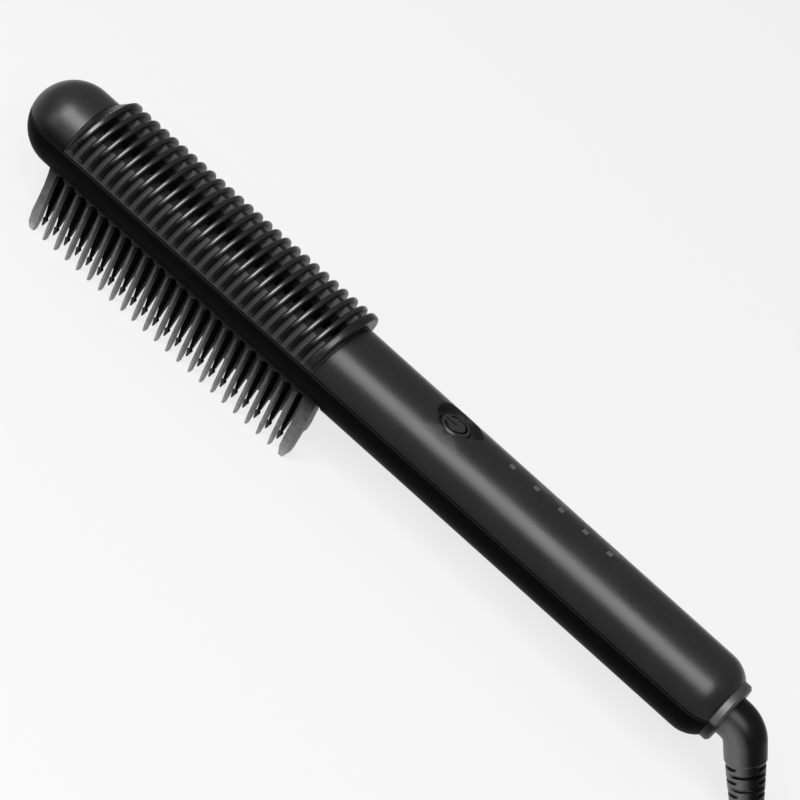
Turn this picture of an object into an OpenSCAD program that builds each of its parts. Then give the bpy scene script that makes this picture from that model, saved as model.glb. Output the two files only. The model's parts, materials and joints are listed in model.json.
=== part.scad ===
// Heated straightening comb: a round handle, a ribbed guard over a half-round heated barrel,
// and a comb of plastic blades with heated metal teeth between them.
// +X runs from the nose to the cord, the comb points down, and its tips stand on z = 0.

/* [Body] */
// Length of the handle, from the comb head to the tail
handle_len = 156.6; // [130:0.1:190]
// Outside radius at the nose
nose_r = 14.9; // [14.2:0.1:18]
// Outside radius at the tail
tail_r = 14.1; // [13.8:0.1:17]
// Wall of the shells
shell_wall = 2; // [1.6:0.1:2.4]
// Gap that shows where the shells meet
seam = 0.2; // [0.1:0.05:0.4]
// Radius that rounds the tail
tail_round_r = 11; // [8:0.5:13.5]
// Radius of the flat at the tail, where the collar sits
tail_flat_r = 10.7; // [10.5:0.1:12]
// Thickness of the wall that closes the tail
tail_wall = 4; // [3:0.2:5]

/* [Guard over the barrel] */
// Distance from the nose to the comb head
nose_len = 21; // [20:0.5:26]
// How far the nose cap reaches past the head's start
cap_over = 1.3; // [0:0.1:2]
// Length of the guard
head_len = 111.4; // [90:0.1:135]
// Number of thin ribs
rib_count = 24; // [16:1:28]
// Thickness of a rib
rib_w = 2; // [1.2:0.1:2.2]
// Outside radius of the ribs
rib_r = 16.9; // [16.4:0.1:19]
// Height of the ribs' centre above the axis
rib_rise = 2.5; // [1.5:0.1:3]
// Height of the side rails above the axis
rail_top = 10.3; // [7:0.1:10.8]
// Width of the spine that joins the ribs along the top
spine_w = 6.9; // [4:0.1:9]
// How far the spine's top is below the ribs' top
spine_drop = 1.3; // [0.5:0.1:3]
// How far the ribs lean back, in degrees
rib_tilt = 9; // [0:1:12]
// Distance from the head's start to the crest of the front flange
front_inset = 3.9; // [3:0.1:7]
// Distance from the crest of the rear flange to the head's end
rear_inset = 5; // [4:0.1:7]
// Width of the rear flange's crest
rear_w = 3; // [1.7:0.1:4]

/* [Comb] */
// Number of blades in each outer row
tooth_count = 23; // [15:1:25]
// Thickness of a blade along the comb
tooth_w = 1; // [0.8:0.1:1.8]
// Depth of a blade across the comb
tooth_d = 2.6; // [2.5:0.1:4]
// Distance from the middle to an outer row
row_y = 9.4; // [8.6:0.1:9.6]
// Distance from the axis to the tips
tooth_reach = 33.5; // [28:0.1:40]
// How far the heated teeth lean towards the handle, in degrees
rake = 4.5; // [0:0.5:6]
// How far the blades lean, in degrees
blade_rake = 6.2; // [0:0.1:8]
// Width of the comb's base
comb_w = 21.8; // [21.6:0.1:22.4]
// Length of the slope at a blade's tip
tip_slope = 3.3; // [2:0.1:6]

/* [Heated parts] */
// Distance from the middle to a row of heated teeth
inner_y = 4.5; // [4:0.1:4.8]
// Thickness of a heated tooth at its root
fin_w = 2.4; // [1.6:0.1:2.5]
// Wall of the barrel
barrel_wall = 2; // [1.4:0.1:2.4]
// Thickness of the plate that carries the heated teeth
plate_t = 2.4; // [2:0.1:3]
// Half the width of that plate
plate_half_w = 7.5; // [7:0.1:8]
// Thickness of a heater tile
ptc_t = 2.4; // [2:0.1:3]
// Thickness of an electrode strip
electrode_t = 0.4; // [0.3:0.05:0.6]
// Thickness of an insulating film
film_t = 0.2; // [0.1:0.05:0.3]
// Height of each cap on a heated tooth
cap_h = 3.8; // [3:0.1:5]

/* [Button] */
// Distance from the comb head to the button's centre
button_gap = 39.9; // [34:0.1:46]
// Radius of the button
button_r = 5.3; // [4.6:0.1:5.8]
// Radius of the recess around the button
pocket_r = 7.4; // [7:0.1:8]
// How far the recess runs out behind the button
pocket_tail = 8; // [6:0.1:9]
// Height of the recess's floor above the axis
pocket_z = 11.2; // [11:0.1:11.6]
// Travel of the button
button_travel = 0.6; // [0.4:0.05:0.8]

/* [Lights and board] */
// Number of indicator lights
led_count = 5; // [3:1:6]
// Distance from the button to the first light
led_gap = 21.8; // [20:0.1:26]
// Distance from the last light to the tail
led_tail_gap = 55.2; // [52:0.1:62]
// Side of a light's window
led_side = 2; // [1.4:0.1:2.4]
// Thickness of the circuit board
board_t = 1.2; // [0.8:0.1:1.6]
// Height of the board's top above the axis
board_z = 4; // [3.6:0.1:4.4]

/* [Cord swivel] */
// Radius of the collar
collar_r = 10.6; // [10:0.1:12]
// Length of the collar outside the shells
collar_len = 3; // [2:0.1:5]
// Bore that the cord's hub turns in
swivel_bore_r = 7.6; // [7.2:0.05:8]
// Clearance of the hub in its bore
swivel_fit = 0.05; // [0.02:0.01:0.1]
// Radius of the strain relief where it leaves the hub
boot_r = 6.9; // [6.4:0.1:7.1]
// Radius of the strain relief at its far end
boot_tip_r = 4.2; // [3.8:0.1:4.6]

/* [Cord] */
// Diameter of the cord
cord_d = 6; // [5:0.5:7]
// Radius of the folded hank's outer turns
fold_r = 24; // [20:1:26]
// Distance between the hank's folds
hank_run = 66; // [50:1:80]
// Radius of the plug's pins
pin_r = 2; // [1.9:0.05:2.4]
// Length of the plug's pins, without their tapered ends
pin_len = 18; // [16:0.5:20]
// Distance between the pins' centres
pin_pitch = 18.6; // [17:0.1:20]

/* [Hidden] */
$fn = 96;

// places along the part, from the tip of the nose
head_end = nose_len + head_len;
body_len = head_end + handle_len;
total_len = body_len + collar_len;
tail_round_s = body_len - tail_round_r * sin(acos(1 - (tail_r - tail_flat_r) / tail_round_r));
button_s = head_end + button_gap;
led_first = button_s + led_gap;
led_last = body_len - led_tail_gap;
led_pitch = (led_last - led_first) / (led_count - 1);

// room and clearances
far = 400;
cavity_r = min(nose_r, tail_r) - shell_wall;
gap = 0.3;
slide_gap = 0.15;

// guard
guard_bore_r = cavity_r + gap;
cap_end = nose_len + cap_over;
guard_end = head_end - 3.4;
front_crest = nose_len + front_inset;
rear_crest = head_end - rear_inset;
rib_pitch = (rear_crest - front_crest) / (rib_count + 1);
rail_r = tail_r + 0.8;
rail_rise = 2;
spine_flat = 1;
spine_fall = 1.2;

// comb
comb_start = nose_len - 2.4;
comb_end = head_end + 3.6;
first_tooth = nose_len + 2.5;
last_tooth = head_end + 0.7;
tooth_pitch = (last_tooth - first_tooth) / (tooth_count - 1);
base_in = shell_wall + 0.5;
blade_shift = 0.7;
fin_shift = 0.75;
far_shift = 0.4;
root_inner = row_y - tooth_d / 2;
root_rail = [-11.3, -sqrt(pow(cavity_r - 0.4 + gap, 2) - pow(root_inner, 2))];

// heated stack, from the barrel's floor down
barrel_start = nose_len + 0.2;
barrel_end = head_end - 0.8;
barrel_z = 0.6;
stack_t = 2 * film_t + 2 * electrode_t + ptc_t;
plate_top = barrel_z - stack_t;
plate_bottom = plate_top - plate_t;
stack_start = barrel_start + 12;
stack_end = barrel_end - 11;
stack_half_w = 6.4;
screw_inset = 7;
neck_z = -tooth_reach + cap_h + 0.1;
tab_y = 5;
lead_z = [plate_top + film_t + electrode_t / 2, barrel_z - film_t - electrode_t / 2];

// board
board_start = head_end + 17.6;
board_end = led_last + 8;
board_half_w = sqrt(pow(cavity_r, 2) - pow(board_z, 2)) - 0.6;
board_screw_y = 7.5;
case_screw_s = [nose_len - 8, head_end + 10.6, body_len - 34];
wire_r = 0.9;

// button, from the switch up
floor_t = 1.5;
switch_h = 3.6;
flange_top = pocket_z - floor_t - gap;
flange_t = 0.9;
button_top = pocket_z + 0.8;
stem_r = 1.6;

// swivel
collar_flange = [body_len - tail_wall - 3, body_len - tail_wall - 0.1];
hub_flange = [collar_flange[0] - 3.2, collar_flange[0] - gap];
spigot_r = 3.5;
spigot_start = hub_flange[0] - 13;
ring_r = 5;
ring_w = 2.5;
ring_live_s = spigot_start + 2;
ring_neutral_s = spigot_start + 7.5;
block_top = -ring_r - 1.2;

// strain relief: out of the hub, down through an elbow, then level with the surface
boot_turn = 53;
boot_straight = 2;
boot_elbow_r = 8;
boot_sweep_r = 24;
boot_end_z = 5;
boot_slope = (tooth_reach - boot_end_z - (boot_elbow_r + boot_sweep_r) * (1 - cos(boot_turn)))
    / sin(boot_turn);
ring_first = 16;
ring_step = 4.5;
boot_lengths = [
    boot_straight, boot_elbow_r * boot_turn * PI / 180, boot_slope, boot_sweep_r * boot_turn * PI / 180
];
boot_len = boot_lengths[0] + boot_lengths[1] + boot_lengths[2] + boot_lengths[3];

// cord: its route where it isn't folded, measured from the tail on the surface it lies on
cord_route = [[39.5, 0, 5], [46, 0.6, 4.8], [53, 2.9, 4.5], [60, 6, 4.2], [67, 9.1, 4]];
tail_route = [
    [104, 12, 28], [114, 12, 29.2], [126, 12, 29.3], [138, 12, 29.4], [148, 12, 29.6], [154, 12, 30],
    [164.5, 9.2, 30.5], [172.2, 1.5, 31], [175, -9, 31.6], [172.2, -19.5, 32.2], [164.5, -27.2, 32.7],
    [154, -30, 33], [151, -30, 33]
];
hank_at = [88, -12, 1];
hank_rows = 2;
hank_layers = 4;
hank_h = hank_layers * cord_d;
tie_t = 1;
tie_w = 8;
tie_slack = 0.4;
cord_sides = 10;

// plug, at the end of the cord's last stretch
plug_at = [151, -30, 33];
plug_relief = 14;
plug_len = 34;
plug_h = 13.7;

// ---------- helpers ----------

// the part's own frame: the nose at -total_len / 2, the comb's tips on z = 0
module placed() translate([-total_len / 2, 0, tooth_reach]) children();

// measured from the tail's collar, on the surface
module from_tail() translate([total_len / 2, 0, 0]) children();

module above(z) translate([-far, -far, z]) cube([3 * far, 2 * far, far]);
module below(z) translate([-far, -far, z - far]) cube([3 * far, 2 * far, far]);
module between(s0, s1) translate([s0, -far, -far]) cube([s1 - s0, 2 * far, 2 * far]);
module strip(y0, y1) translate([-far, y0, -far]) cube([3 * far, y1 - y0, 2 * far]);
module tilted(s) translate([s, 0, 0]) rotate([0, rib_tilt, 0]) children();
module bar(s0, s1, y0, y1, z0, z1) translate([s0, y0, z0]) cube([s1 - s0, y1 - y0, z1 - z0]);
module rod(s0, s1, r, y = 0, z = 0) translate([s0, y, z]) rotate([0, 90, 0]) cylinder(r = r, h = s1 - s0);
module post(s, y, z0, z1, r) translate([s, y, z0]) cylinder(r = r, h = z1 - z0);

// turns an outline of (radius, place) about the axis
module turned() rotate([0, 90, 0]) rotate_extrude() children();

// the outside of the shells, or with an inset their inside
module body_outline(inset) {
    intersection() {
        translate([0, nose_r]) circle(r = nose_r - inset);
        square([far, nose_r]);
    }
    polygon([
        [0, nose_r], [nose_r - inset, nose_r], [tail_r - inset, tail_round_s], [0, tail_round_s]
    ]);
    intersection() {
        translate([tail_r - tail_round_r, tail_round_s]) circle(r = tail_round_r - inset);
        translate([0, tail_round_s]) square([far, body_len - tail_round_s]);
    }
}
module body(inset) turned() body_outline(inset);
module cavity() {
    intersection() {
        body(shell_wall);
        between(-far, body_len - tail_wall);
    }
}
module hollow_body() {
    difference() {
        body(0);
        cavity();
        rod(body_len - tail_wall - 1, body_len + 1, collar_neck_r() + 0.1);
    }
}
function collar_neck_r() = swivel_bore_r + 1.8;
function body_r(s) = nose_r + (tail_r - nose_r) * (s - nose_r) / (tail_round_s - nose_r);

// a hollow boss between two heights, joined to the shell it reaches into
module boss(s, z0, z1, r) {
    intersection() {
        post(s, 0, z0, z1, r);
        body(shell_wall / 2);
    }
}

// ---------- shells ----------

case_pilot_r = 1.1;
case_pilot_top = 7;
module case_boss_up(s) {
    difference() {
        boss(s, seam / 2, far, 2.8);
        post(s, 0, 0, case_pilot_top, case_pilot_r);
    }
}
case_head_z = -9.5;
case_head_r = 2.6;

module nose_cap() {
    color("#2b2b2d") placed() {
        intersection() {
            hollow_body();
            above(seam / 2);
            between(-far, cap_end - slide_gap);
        }
        case_boss_up(case_screw_s[0]);
    }
}

// the recess around the button: round, with a pointed tail, and with sloping sides
module pocket(z0, z1, grow) {
    hull() {
        translate([button_s, 0, z0])
            cylinder(r1 = pocket_r - 0.7 + grow, r2 = pocket_r + 0.9 + grow, h = z1 - z0, $fn = 72);
        translate([button_s + pocket_tail, 0, z0])
            cylinder(r1 = 0.7 + grow, r2 = 2.3 + grow, h = z1 - z0, $fn = 36);
    }
}
module led_posts(side, z0) {
    for (i = [0 : led_count - 1]) {
        s = led_first + led_pitch * i;
        bar(s - side / 2, s + side / 2, -side / 2, side / 2, z0, far / 10);
    }
}
module board_posts(z0, z1, r) {
    for (s = [board_start + 5, board_end - 5], y = [-board_screw_y, board_screw_y]) {
        post(s, y, z0, z1, r);
    }
}
module upper_shell() {
    color("#2b2b2d") placed() {
        difference() {
            union() {
                intersection() {
                    hollow_body();
                    above(seam / 2);
                    tilted(guard_end + slide_gap) between(0, far * 2);
                }
                intersection() {
                    union() {
                        translate([0, 0, pocket_z - floor_t])
                            linear_extrude(height = far / 10)
                                translate([button_s, 0]) circle(r = pocket_tail + 3);
                        board_posts(board_z, far / 10, 2.4);
                    }
                    body(shell_wall / 2);
                }
                case_boss_up(case_screw_s[1]);
                case_boss_up(case_screw_s[2]);
            }
            pocket(pocket_z, pocket_z + 5, 0);
            post(button_s, 0, 0, far / 10, button_r + gap);
            led_posts(led_side + 2 * slide_gap, 0);
            board_posts(board_z - 1, board_z + 4.5, 0.85);
        }
    }
}

module lower_shell() {
    color("#0c0c0d") placed() {
        difference() {
            union() {
                intersection() {
                    hollow_body();
                    below(-seam / 2);
                }
                for (s = case_screw_s) boss(s, -far / 10, -seam / 2, 3.4);
            }
            bar(comb_start - gap, comb_end + gap, -comb_w / 2 - gap, comb_w / 2 + gap, -far / 10, -5);
            for (s = case_screw_s) {
                post(s, 0, -far / 10, case_head_z, case_head_r + 0.2);
                post(s, 0, case_head_z - 1, 1, 1.35);
            }
        }
    }
}

// ---------- guard ----------

// one rib as a full ring that leans back, with its crest rounded by a radius
module ring_at(s, w) {
    r = rib_w / 2;
    translate([s, 0, rib_rise]) rotate([0, rib_tilt, 0]) turned() {
        translate([guard_bore_r - rib_rise - 1, -w / 2])
            square([rib_r - r - guard_bore_r + rib_rise + 1, w]);
        translate([rib_r - r, w / 2 - r]) circle(r = r, $fn = 48);
        if (w > rib_w) {
            translate([rib_r - r, r - w / 2]) circle(r = r, $fn = 48);
            translate([rib_r - r, r - w / 2]) square([r, w - rib_w]);
        }
    }
}
// the foot of every rib slopes in to meet the side of the body
module rib_skirt() {
    foot = tail_r + 0.3;
    rotate([90, 0, 90]) linear_extrude(height = total_len) polygon([
        [-foot, 0], [-foot - 3.6, 4.8], [-foot - 3.6, 30], [foot + 3.6, 30], [foot + 3.6, 4.8], [foot, 0]
    ]);
}
// the head between two places, with ends that lean like the ribs
module head_between(s0, s1) {
    intersection() {
        tilted(s0) between(0, far);
        tilted(s1) between(-far, 0);
    }
}
module side_rails() {
    intersection() {
        rod(front_crest, rear_crest + 2, rail_r, 0, rail_rise);
        head_between(front_crest, rear_crest);
        below(rail_top);
        rib_skirt();
    }
}
module flange_slope() {
    slope_len = front_crest + 3 - cap_end;
    start_r = body_r(cap_end);
    intersection() {
        translate([cap_end, 0, 0]) rotate([0, 90, 0])
            cylinder(r1 = start_r, r2 = start_r + slope_len, h = slope_len);
        rod(cap_end, cap_end + slope_len, rib_r, 0, rib_rise);
        tilted(front_crest) between(-far, 0);
        rib_skirt();
    }
}
// the spine along the ribs' tops, its edges sloped off
module spine() {
    top_z = rib_r + rib_rise - spine_drop;
    slope_y = spine_w / 2 - spine_flat;
    intersection() {
        rotate([90, 0, 90]) linear_extrude(height = total_len) polygon([
            [-spine_w / 2, rail_top], [-spine_w / 2, top_z - slope_y * spine_fall], [-spine_flat, top_z],
            [spine_flat, top_z], [spine_w / 2, top_z - slope_y * spine_fall], [spine_w / 2, rail_top]
        ]);
        between(front_crest + 1, rear_crest + 1);
    }
}
module rib_guard() {
    color("#1b1b1d") placed() {
        difference() {
            intersection() {
                union() {
                    difference() {
                        intersection() {
                            body(0);
                            between(cap_end, far);
                            tilted(guard_end) between(-far, 0);
                        }
                        intersection() {
                            head_between(front_crest + 0.5, rear_crest);
                            above(rail_top);
                        }
                    }
                    spine();
                    side_rails();
                    intersection() {
                        union() {
                            for (i = [0 : rib_count]) ring_at(front_crest + rib_pitch * i, rib_w);
                            ring_at(rear_crest, rear_w);
                        }
                        rib_skirt();
                    }
                    flange_slope();
                }
                above(seam / 2);
            }
            rod(-1, far, guard_bore_r);
        }
    }
}

// ---------- comb ----------

function lean(z) = (tooth_reach + z) * tan(rake);
function blade_lean(z) = (tooth_reach + z) * tan(blade_rake);

// side view of a blade: straight, with a slope from its back down to the tip
module blade_outline(s, half, root_z) {
    slope_z = tip_slope - tooth_reach;
    polygon([
        [s - blade_lean(root_z) - half, root_z],
        [s - blade_lean(slope_z + 1) - half, slope_z + 1],
        [s - half + 0.3, -tooth_reach],
        [s - half + 0.7, -tooth_reach],
        [s - blade_lean(slope_z) + half, slope_z],
        [s - blade_lean(root_z) + half, root_z]
    ]);
}
// side view of the first blade, which widens to a curved root, and of the last
module first_blade(s, root_z) {
    reach = -tooth_reach;
    polygon([
        [s - 4.9, root_z], [s - 3.9, reach * 0.4], [s - 3.3, reach * 0.52], [s - 2.9, reach * 0.67],
        [s - 2.6, reach * 0.82], [s - 1.9, reach * 0.93], [s - 0.6, reach + 0.5], [s + 0.3, reach],
        [s + 0.9, reach], [s + 0.9, reach * 0.88], [s + 0.2, reach * 0.7], [s - 0.6, reach * 0.5],
        [s - 1.4, root_z]
    ]);
}
module last_blade(s, root_z) {
    reach = -tooth_reach;
    polygon([
        [s - 2.5, root_z], [s - 1.7, reach * 0.7], [s - 1, reach + tip_slope], [s + 0.4, reach],
        [s + 1.6, reach], [s + 2.5, reach * 0.93], [s + 2.7, reach * 0.86], [s + 2.3, reach * 0.55],
        [s + 1.7, root_z]
    ]);
}
module across(y0, y1) translate([0, y1, 0]) rotate([90, 0, 0]) linear_extrude(height = y1 - y0) children();
// end view of both rows, with the blades' outer corners cut off at the tip
module row_section(side) {
    y0 = root_inner;
    y1 = row_y + tooth_d / 2;
    polygon([
        [side * y0, -8], [side * y0, -tooth_reach + 0.4], [side * (y0 + 0.6), -tooth_reach],
        [side * (y1 - 0.5), -tooth_reach], [side * y1, -tooth_reach + 0.4], [side * y1, -8]
    ]);
}
// the rail that carries a row's roots, arched between the blades
module root_bar(side, from, to, gaps) {
    intersection() {
        across(-far, far) difference() {
            translate([from, root_rail[0]]) square([to - from, root_rail[1] - root_rail[0]]);
            for (s = gaps) {
                translate([s - blade_lean(root_rail[0]) + tooth_pitch / 2, root_rail[0] - 0.4])
                    circle(r = 1.3);
            }
        }
        rotate([90, 0, 90]) linear_extrude(height = total_len) row_section(side);
    }
}
// one row: on the far side the blades stand between those of the near side
module blade_row(side) {
    root_z = root_rail[1];
    far_side = side > 0;
    offset_s = far_side ? tooth_pitch / 2 - far_shift : 0;
    last_i = far_side ? tooth_count - 2 : tooth_count - 1;
    places = [for (i = [1 : tooth_count - 2]) first_tooth + tooth_pitch * i + offset_s + blade_shift];
    intersection() {
        across(-far, far) {
            first_blade(first_tooth + offset_s, root_z);
            for (s = places) blade_outline(s, tooth_w / 2, root_z);
            if (!far_side) last_blade(last_tooth, root_z);
        }
        rotate([90, 0, 90]) linear_extrude(height = total_len) row_section(side);
    }
    root_bar(side, first_tooth + offset_s - 3, first_tooth + tooth_pitch * last_i + offset_s - 1.5,
             [for (i = [0 : last_i - 1]) first_tooth + tooth_pitch * i + offset_s + blade_shift]);
}
module comb_frame() {
    slot_w = fin_w + 0.5;
    color("#3a3a3c") placed() {
        difference() {
            union() {
                intersection() {
                    difference() {
                        body(gap);
                        body(base_in);
                    }
                    strip(-comb_w / 2, comb_w / 2);
                    between(comb_start, comb_end);
                    below(-5);
                }
                intersection() {
                    difference() {
                        body(shell_wall + gap);
                        body(shell_wall + 1.4);
                    }
                    union() {
                        strip(-far, -comb_w / 2 + 1.4);
                        strip(comb_w / 2 - 1.4, far);
                    }
                    between(nose_len + 1, head_end - 1);
                    bar(-far, far, -far, far, -8.6, -4);
                }
            }
            for (i = [0 : tooth_count - 2]) {
                s = first_tooth + tooth_pitch * i + fin_shift - lean(-nose_r + 1.5);
                bar(s - slot_w / 2, s + slot_w / 2, -inner_y - 1.9, inner_y + 1.9, -far / 10, -5);
            }
        }
        blade_row(-1);
        blade_row(1);
    }
}

// ---------- heated parts ----------

module barrel() {
    color("#101011") placed() {
        difference() {
            intersection() {
                rod(barrel_start, barrel_end, cavity_r);
                above(barrel_z);
            }
            intersection() {
                rod(barrel_start - 1, barrel_end + 1, cavity_r - barrel_wall);
                above(barrel_z + barrel_wall);
            }
            plate_screw_posts(barrel_z - 1, barrel_z + barrel_wall + 1, 1.3);
        }
    }
}
module plate_screw_posts(z0, z1, r) {
    for (s = [barrel_start + screw_inset, barrel_end - screw_inset]) post(s, 0, z0, z1, r);
}
// side view of a heated tooth, from the plate to the neck under its cap
module fin_outline(s) {
    waist_z = -tooth_reach * 0.66;
    polygon([
        [s - lean(plate_bottom) - fin_w / 2, plate_bottom + 1],
        [s - lean(waist_z) - fin_w / 2, waist_z],
        [s - lean(neck_z) - 0.5, neck_z],
        [s - lean(neck_z) + 0.5, neck_z],
        [s - lean(waist_z) + fin_w / 2, waist_z],
        [s - lean(plate_bottom) + fin_w / 2, plate_bottom + 1]
    ]);
}
// end view of the heated teeth: one web that parts into two prongs
module fin_section() {
    fork_z = -tooth_reach * 0.62;
    polygon([
        [-inner_y - 1.6, 0], [-inner_y - 1.6, fork_z], [-inner_y - 0.6, neck_z], [-inner_y + 0.6, neck_z],
        [-inner_y + 1.8, fork_z], [inner_y - 1.8, fork_z], [inner_y - 0.6, neck_z],
        [inner_y + 0.6, neck_z], [inner_y + 1.6, fork_z], [inner_y + 1.6, 0]
    ]);
}
module fin_plate() {
    color("#0e0e0f") placed() {
        difference() {
            union() {
                bar(barrel_start, barrel_end, -plate_half_w, plate_half_w, plate_bottom, plate_top);
                intersection() {
                    across(-far, far) {
                        for (i = [0 : tooth_count - 2]) fin_outline(first_tooth + tooth_pitch * i + fin_shift);
                    }
                    between(barrel_start, barrel_end);
                    rotate([90, 0, 90]) linear_extrude(height = total_len) fin_section();
                }
            }
            plate_screw_posts(plate_bottom + 0.3, plate_top + 1, 1.15);
        }
    }
}
module tooth_caps() {
    color("#0a0a0b") placed() {
        for (i = [0 : tooth_count - 2], side = [-1, 1]) {
            s = first_tooth + tooth_pitch * i + fin_shift - lean(neck_z);
            translate([s, side * inner_y, neck_z]) mirror([0, 0, 1]) {
                cylinder(r1 = 0.45, r2 = 1, h = cap_h * 0.3, $fn = 24);
                translate([0, 0, cap_h * 0.3]) cylinder(r1 = 1, r2 = 0.25, h = cap_h * 0.7, $fn = 24);
            }
        }
    }
}
module plate_screws() {
    color("#9a9a9c") placed() {
        plate_screw_posts(plate_bottom + 0.5, barrel_z + barrel_wall, 1.1);
        plate_screw_posts(barrel_z + barrel_wall, barrel_z + barrel_wall + 1.4, 2.1);
    }
}
module stack_layer(z, t, inset) {
    bar(stack_start + inset, stack_end - inset, -stack_half_w + inset, stack_half_w - inset, z, z + t);
}
module film_top() color("#b8862a") placed() stack_layer(barrel_z - film_t, film_t, 0);
module film_bottom() color("#b8862a") placed() stack_layer(plate_top, film_t, 0);
module electrode_top() {
    z = barrel_z - film_t - electrode_t;
    color("#c9b37a") placed() {
        stack_layer(z, electrode_t, 0.4);
        bar(stack_end - 1, barrel_end, tab_y - 1.3, tab_y + 1.3, z, z + electrode_t);
    }
}
module electrode_bottom() {
    z = plate_top + film_t;
    color("#c9b37a") placed() {
        stack_layer(z, electrode_t, 0.4);
        bar(stack_end - 1, barrel_end, -tab_y - 1.3, -tab_y + 1.3, z, z + electrode_t);
    }
}
module ptc(i) {
    step = (stack_end - stack_start) / 3;
    z = plate_top + film_t + electrode_t;
    color("#6b6b70") placed() {
        bar(stack_start + step * i + 1, stack_start + step * (i + 1) - 1, -5.8, 5.8, z, z + ptc_t);
    }
}

bracket_r = cavity_r - 0.4;
bracket_t = 3.4;
module barrel_plug(s0, s1) {
    intersection() {
        rod(s0, s1, cavity_r - barrel_wall - slide_gap);
        above(barrel_z + barrel_wall + slide_gap);
    }
}
module front_bracket() {
    color("#d8d4c8") placed() {
        difference() {
            union() {
                rod(nose_len - 0.1 - bracket_t, nose_len - 0.1, bracket_r);
                barrel_plug(nose_len - 0.2, nose_len + 3);
            }
            rod(0, far, 4, 0, 6.6);
        }
    }
}
module rear_bracket() {
    s0 = barrel_end + 0.2;
    color("#d8d4c8") placed() {
        difference() {
            union() {
                rod(s0, s0 + bracket_t, bracket_r);
                barrel_plug(s0 - 3, s0 + 0.1);
            }
            bar(s0 - far, far * 2, -tab_y - wire_r - gap, tab_y + wire_r + gap, lead_z[0] - wire_r - gap,
                lead_z[1] + wire_r + gap);
            for (side = [-1, 1]) rod(0, far, 1.3, side * sensor_y, sensor_z);
        }
    }
}
sensor_y = 4.6;
sensor_z = barrel_z + barrel_wall + 2.1;
module thermal_fuse() {
    color("#caa24a") placed() {
        rod(barrel_start + 40, barrel_start + 52, 2, sensor_y, sensor_z);
        rod(barrel_start + 32, barrel_start + 60, 0.35, sensor_y, sensor_z);
    }
}
module thermistor() {
    color("#b4472f") placed() {
        rod(barrel_start + 62, barrel_start + 67, 1.6, -sensor_y, sensor_z);
        translate([barrel_start + 62, -sensor_y, sensor_z]) sphere(r = 1.6, $fn = 48);
    }
}

// ---------- wires ----------

// a wire that runs along the part and turns up to the board
module wire_to_board(s_from, s_turn, y, z) {
    rod(min(s_from, s_turn), max(s_from, s_turn), wire_r, y, z);
    translate([s_turn, y, z]) sphere(r = wire_r, $fn = 32);
    post(s_turn, y, z, board_z - board_t - 0.05, wire_r);
}
module heater_leads() {
    color("#d9d2c0") placed() {
        wire_to_board(barrel_end + 0.05, board_start + 2, -tab_y, lead_z[0]);
        wire_to_board(barrel_end + 0.05, board_start + 2, tab_y, lead_z[1]);
    }
}
module sensor_leads() {
    color("#d9d2c0") placed() {
        rod(barrel_start + 60.1, board_start - 0.1, 0.5, sensor_y, sensor_z);
        rod(barrel_start + 67.1, board_start - 0.1, 0.5, -sensor_y, sensor_z);
    }
}
module mains_leads() {
    color("#5a3b22") placed() {
        for (side = [-1, 1]) wire_to_board(spigot_start - 3.1, board_end - 3, side * 5.2, -2);
    }
}

// ---------- board ----------

module circuit_board() {
    color("#1f5a36") placed() {
        difference() {
            bar(board_start, board_end, -board_half_w, board_half_w, board_z - board_t, board_z);
            board_posts(0, 20, 1.15);
        }
    }
}
module board_screws() {
    color("#9a9a9c") placed() {
        board_posts(board_z - board_t - 1.4, board_z - board_t, 1.9);
        board_posts(board_z - board_t, board_z + 4, 0.8);
    }
}
module case_screws() {
    color("#8d8d90") placed() {
        for (s = case_screw_s) {
            post(s, 0, case_head_z - 1.8, case_head_z, case_head_r);
            post(s, 0, case_head_z, case_pilot_top - 0.6, 1.05);
        }
    }
}
module control_chip() {
    color("#151515") placed() bar(board_start + 9, board_start + 15, -2.5, 2.5, board_z, board_z + 1.6);
}
module under_board(s0, s1, y0, y1, h) bar(s0, s1, y0, y1, board_z - board_t - h, board_z - board_t);
module triac() {
    color("#1a1a1a") placed() under_board(board_start + 9, board_start + 19, -6.5, -2, 8);
}
module film_capacitor() {
    color("#c9b21e") placed() under_board(button_s + 4, button_s + 17, -3, 3, 10.5);
}
module smoothing_capacitor() {
    color("#20304a") placed() rod(led_first + 1, led_first + 12, 4, 0, board_z - board_t - 4.05);
}
module power_resistor() {
    color("#6f8fa0") placed() rod(board_end - 22, board_end - 10, 2.2, 0, board_z - board_t - 2.25);
}
module led_chips() {
    color("#e8e4d0") placed() {
        for (i = [0 : led_count - 1]) {
            s = led_first + led_pitch * i;
            bar(s - 1.5, s + 1.5, -0.8, 0.8, board_z, board_z + 1);
        }
    }
}
module light_pipe() {
    bar_top = sqrt(pow(cavity_r, 2) - pow(1.5, 2)) - 0.1;
    color("#5c5c60") placed() {
        intersection() {
            union() {
                led_posts(led_side, board_z + 1.3);
                bar(led_first - 3, led_last + 3, -1.5, 1.5, bar_top - 1.8, bar_top);
            }
            body(0.05);
        }
    }
}

// ---------- button ----------

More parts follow.
